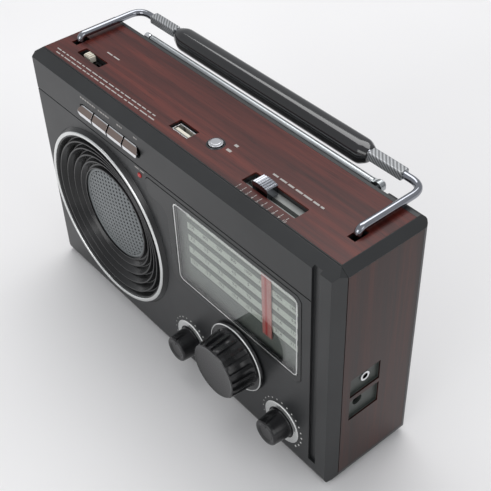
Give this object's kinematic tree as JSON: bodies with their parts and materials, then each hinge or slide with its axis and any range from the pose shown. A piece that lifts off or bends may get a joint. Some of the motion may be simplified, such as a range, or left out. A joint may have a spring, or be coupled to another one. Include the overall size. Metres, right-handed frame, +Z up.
{
  "type": "portable radio",
  "caption": "Portable multiband radio: wood-film top, round speaker, dial window with pointer, knobs, chrome keys, USB port, folding bail handle and telescopic antenna.",
  "frame": {"origin": "on the resting plane, under the middle of the bounding box with the handle and antenna folded", "axes": "+Z up, -Y out of the dial face, +X to the right as seen facing the dial"},
  "size_m": [0.26, 0.098, 0.165],
  "materials": {
    "case_plastic": "fine-grained moulded black",
    "gloss_black": "polished black",
    "top_film": "satin reddish-brown wood-grain film",
    "side_film": "satin dark brown wood-grain film",
    "bright_metal": "polished",
    "silver_plastic": "silver metallised",
    "grey_plastic": "satin grey",
    "grille_metal": "perforated, dark grey",
    "dial_print": "printed grey scale plate",
    "pointer_red": "red",
    "lens": "clear acrylic",
    "cream_plastic": "off-white",
    "steel": "plain",
    "board": "green printed-circuit board",
    "ferrite": "dull dark ferrite",
    "cone_paper": "pressed paper",
    "cell_wrap": "shrink-wrapped cells"
  },
  "bodies": {
    "cabinet": {"front_bezel": "case_plastic", "rear_cabinet": "case_plastic", "screw_1": "steel", "screw_2": "steel", "screw_3": "steel", "screw_4": "steel", "top_wood_panel": "top_film", "side_panel_left": "side_film", "side_panel_right": "side_film", "socket_plate": "grey_plastic", "headphone_jack": "gloss_black", "headphone_collar": "bright_metal", "dc_jack": "gloss_black", "speaker_trim_ring": "silver_plastic", "speaker_horn": "case_plastic", "speaker_grille": "grille_metal", "speaker_frame": "steel", "speaker_cone": "cone_paper", "speaker_magnet": "steel", "window_frame": "gloss_black", "window_lens": "lens", "dial_scale": "dial_print", "tuning_capacitor": "cream_plastic", "tone_ring": "silver_plastic", "tone_control": "steel", "volume_ring": "silver_plastic", "volume_control": "steel", "key_switch_board": "board", "tuning_led": "pointer_red", "main_board": "board", "ferrite_rod": "ferrite", "ferrite_holder": "grey_plastic", "top_board": "board", "usb_socket": "bright_metal", "usb_tongue": "cream_plastic", "band_switch": "grey_plastic", "power_switch": "gloss_black", "battery_tray": "case_plastic", "battery_pack": "cell_wrap", "antenna_pin": "steel"},
    "tuning": {"tuning_knob": "case_plastic"},
    "pointer": {"dial_pointer": "pointer_red"},
    "tone": {"tone_knob": "case_plastic"},
    "volume": {"volume_knob": "case_plastic"},
    "key_1": {"key_1": "bright_metal"},
    "key_2": {"key_2": "bright_metal"},
    "key_3": {"key_3": "bright_metal"},
    "key_4": {"key_4": "bright_metal"},
    "mode": {"mode_button": "bright_metal"},
    "band": {"band_knob": "bright_metal"},
    "power": {"power_knob": "cream_plastic"},
    "door": {"battery_door": "case_plastic"},
    "handle": {"handle_rod": "bright_metal", "handle_grip": "gloss_black", "handle_sleeve_left": "silver_plastic", "handle_sleeve_right": "silver_plastic"},
    "antenna": {"antenna_knuckle": "bright_metal", "antenna_tube": "bright_metal"},
    "antenna_middle": {"antenna_section_2": "bright_metal"},
    "antenna_inner": {"antenna_section_3": "bright_metal"}
  },
  "joints": [
    {"name": "handle_swing", "type": "hinge", "parent": "cabinet", "child": "handle", "pos_m": [0, 0.006, 0.1522], "axis": [1, 0, 0], "range_deg": [0, 92]},
    {"name": "antenna_swing", "type": "hinge", "parent": "cabinet", "child": "antenna", "pos_m": [0.096, 0.0304, 0.1564], "axis": [0, 1, 0], "range_deg": [0, 135]},
    {"name": "antenna_middle_slide", "type": "slide", "parent": "antenna", "child": "antenna_middle", "axis": [-1, 0, 0], "range_m": [0, 0.145]},
    {"name": "antenna_inner_slide", "type": "slide", "parent": "antenna_middle", "child": "antenna_inner", "axis": [-1, 0, 0], "range_m": [0, 0.145]},
    {"name": "tuning_turn", "type": "hinge", "parent": "cabinet", "child": "tuning", "pos_m": [0.0575, -0.0405, 0.047], "axis": [0, 1, 0], "range_deg": [-420, 120]},
    {"name": "pointer_slide", "type": "slide", "parent": "cabinet", "child": "pointer", "axis": [1, 0, 0], "range_m": [-0.0702, 0.0202]},
    {"name": "tone_turn", "type": "hinge", "parent": "cabinet", "child": "tone", "pos_m": [0.013, -0.0365, 0.023], "axis": [0, 1, 0], "range_deg": [-150, 150]},
    {"name": "volume_turn", "type": "hinge", "parent": "cabinet", "child": "volume", "pos_m": [0.093, -0.0365, 0.0227], "axis": [0, 1, 0], "range_deg": [-150, 150]},
    {"name": "key_1_press", "type": "slide", "parent": "cabinet", "child": "key_1", "axis": [0, 1, 0], "range_m": [0, 0.002], "stiffness_N_per_m": 400},
    {"name": "key_2_press", "type": "slide", "parent": "cabinet", "child": "key_2", "axis": [0, 1, 0], "range_m": [0, 0.002], "stiffness_N_per_m": 400},
    {"name": "key_3_press", "type": "slide", "parent": "cabinet", "child": "key_3", "axis": [0, 1, 0], "range_m": [0, 0.002], "stiffness_N_per_m": 400},
    {"name": "key_4_press", "type": "slide", "parent": "cabinet", "child": "key_4", "axis": [0, 1, 0], "range_m": [0, 0.002], "stiffness_N_per_m": 400},
    {"name": "mode_press", "type": "slide", "parent": "cabinet", "child": "mode", "axis": [0, 0, -1], "range_m": [0, 0.0015], "stiffness_N_per_m": 400},
    {"name": "band_slide", "type": "slide", "parent": "cabinet", "child": "band", "axis": [1, 0, 0], "range_m": [-0.0005, 0.019]},
    {"name": "power_slide", "type": "slide", "parent": "cabinet", "child": "power", "axis": [1, 0, 0], "range_m": [-0.004, 0.01]},
    {"name": "door_swing", "type": "hinge", "parent": "cabinet", "child": "door", "pos_m": [0, 0.0292, 0.0161], "axis": [1, 0, 0], "range_deg": [-100, 0]}
  ],
  "couplings": [
    {"joint": "pointer_slide", "follows": "tuning_turn", "m_per_rad": 0.0095766},
    {"joint": "antenna_inner_slide", "follows": "antenna_middle_slide", "ratio": 1}
  ]
}
